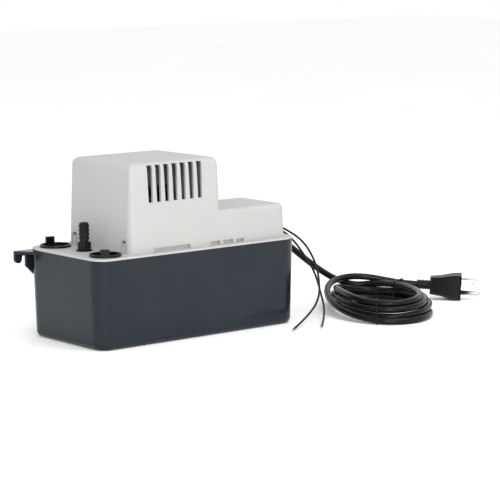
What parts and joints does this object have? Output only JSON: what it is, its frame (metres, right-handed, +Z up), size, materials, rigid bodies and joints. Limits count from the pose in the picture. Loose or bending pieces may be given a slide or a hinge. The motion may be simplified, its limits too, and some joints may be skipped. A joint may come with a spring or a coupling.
{
  "type": "condensate pump",
  "caption": "Tank with hanging ears, clip-on stepped motor cover with slotted vents, plugged inlets, barbed check valve, float switch, coiled power cord and two switch leads.",
  "frame": {"origin": "under the middle of the body (tank with its two hanging ears), on the surface that it stands on", "axes": "+X along the tank from the inlet end to the cord end, +Y to the wall side that carries the hanging ears, +Z up"},
  "size_m": [0.5042, 0.2129, 0.1778],
  "materials": {
    "tank_gloss_black": "glossy moulded, slightly uneven",
    "cover_cream": "satin moulded",
    "black_plastic": "satin moulded",
    "grey_plastic": "satin moulded",
    "black_rubber": "soft satin",
    "cord_jacket": "satin jacket",
    "lamination_steel": "stacked sheet edges",
    "steel": "plated",
    "aluminium_cast": "die cast",
    "bronze": "sintered",
    "coil_tape": "wound wire under tape",
    "bobbin_nylon": "moulded",
    "float_foam": "closed cell",
    "nickel_brass": "nickel plated",
    "tinned_copper": "bared strands"
  },
  "bodies": {
    "housing": {"tank": "tank_gloss_black", "tank_cover": "cover_cream", "motor_cover": "cover_cream", "check_valve_body": "black_plastic", "valve_gasket": "black_rubber", "discharge_tube": "grey_plastic", "volute": "black_plastic", "suction_cover": "black_plastic", "pump_column": "black_plastic", "stator_laminations": "lamination_steel", "coil_bobbin": "bobbin_nylon", "stator_coil": "coil_tape", "thermal_protector": "black_plastic", "lower_bearing_bracket": "aluminium_cast", "lower_bearing": "bronze", "upper_bearing_bracket": "aluminium_cast", "upper_bearing": "bronze", "motor_screw_left": "steel", "motor_screw_right": "steel", "float_pivot_pin": "steel", "run_switch": "black_plastic", "overflow_switch": "black_plastic", "run_switch_terminals": "nickel_brass", "overflow_switch_terminals": "nickel_brass", "switch_bracket": "black_plastic", "switch_screw_1": "steel", "switch_screw_2": "steel", "cord_strain_relief": "black_rubber", "lead_grommet": "black_rubber", "power_cord_lead": "cord_jacket", "power_cord_coil": "cord_jacket", "power_cord_tail": "cord_jacket", "cord_tie_1": "black_plastic", "cord_tie_2": "black_plastic", "plug_strain_relief": "black_rubber", "power_plug": "black_rubber", "plug_blade_1": "nickel_brass", "plug_blade_2": "nickel_brass", "plug_ground_pin": "nickel_brass", "switch_lead_1": "cord_jacket", "switch_lead_2": "cord_jacket", "switch_lead_tip_1": "tinned_copper", "switch_lead_tip_2": "tinned_copper"},
    "rotor": {"motor_shaft": "steel", "rotor_core": "lamination_steel", "fan": "black_plastic", "impeller": "grey_plastic"},
    "float_arm": {"float": "float_foam", "float_lever": "grey_plastic"},
    "push_rod": {"push_rod": "grey_plastic"},
    "run_plunger": {"run_switch_plunger": "grey_plastic"},
    "overflow_plunger": {"overflow_switch_plunger": "grey_plastic"},
    "check_ball": {"check_ball": "black_rubber"},
    "inlet_plug_front": {"inlet_plug_front": "black_plastic"},
    "inlet_plug_rear": {"inlet_plug_rear": "black_plastic"}
  },
  "joints": [
    {"name": "rotor_spin", "type": "hinge", "parent": "housing", "child": "rotor", "pos_m": [-0.024, 0, 0.12], "axis": [0, 0, 1], "continuous": true},
    {"name": "float_swing", "type": "hinge", "parent": "housing", "child": "float_arm", "pos_m": [0.052, 0, 0.081], "axis": [0, -1, 0], "range_deg": [0, 18]},
    {"name": "push_rod_lift", "type": "slide", "parent": "housing", "child": "push_rod", "axis": [0, 0, 1], "range_m": [0, 0.00251]},
    {"name": "run_plunger_lift", "type": "slide", "parent": "housing", "child": "run_plunger", "axis": [0, 0, 1], "range_m": [0, 0.00251]},
    {"name": "overflow_plunger_lift", "type": "slide", "parent": "housing", "child": "overflow_plunger", "axis": [0, 0, 1], "range_m": [0, 0.00251]},
    {"name": "check_ball_lift", "type": "slide", "parent": "housing", "child": "check_ball", "axis": [0, 0, 1], "range_m": [0, 0.003]},
    {"name": "inlet_plug_front_lift", "type": "slide", "parent": "housing", "child": "inlet_plug_front", "axis": [0, 0, 1], "range_m": [0, 0.04]},
    {"name": "inlet_plug_rear_lift", "type": "slide", "parent": "housing", "child": "inlet_plug_rear", "axis": [0, 0, 1], "range_m": [0, 0.04]}
  ],
  "couplings": [
    {"joint": "push_rod_lift", "follows": "float_swing", "m_per_rad": 0.008},
    {"joint": "run_plunger_lift", "follows": "float_swing", "m_per_rad": 0.008},
    {"joint": "overflow_plunger_lift", "follows": "float_swing", "m_per_rad": 0.008}
  ]
}
